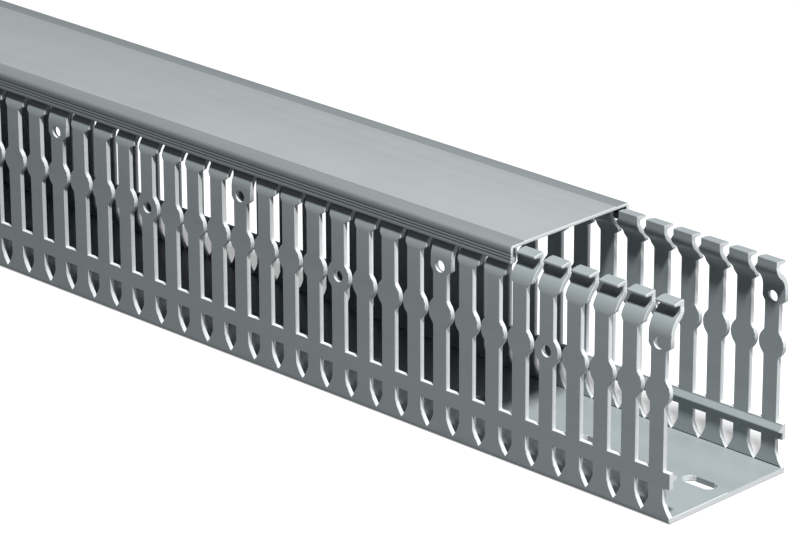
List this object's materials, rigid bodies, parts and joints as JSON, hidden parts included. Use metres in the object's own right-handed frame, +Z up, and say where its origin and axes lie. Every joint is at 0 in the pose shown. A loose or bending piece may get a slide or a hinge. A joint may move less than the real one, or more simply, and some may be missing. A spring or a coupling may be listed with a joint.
{
  "type": "slotted wire duct",
  "caption": "Rectangular slotted wiring duct: a U-shaped body whose walls are hooked, bulged fingers between open slots, with a clip-over cover that slides along the hooks.",
  "frame": {"origin": "middle of the body's underside, where the duct is screwed down", "axes": "+X along the duct towards the end that the cover leaves open, +Y across it, +Z up from the underside to the cover"},
  "size_m": [1.0729, 0.06, 0.08],
  "materials": {
    "duct_body": "grey rigid PVC, smooth and slightly matt",
    "cover": "grey rigid PVC, smooth and slightly matt"
  },
  "bodies": {
    "duct": {"duct_body": "duct_body"},
    "cover": {"cover": "cover"}
  },
  "joints": [
    {"name": "cover_slide", "type": "slide", "parent": "duct", "child": "cover", "axis": [1, 0, 0], "range_m": [-0.9, 0.0729]}
  ]
}
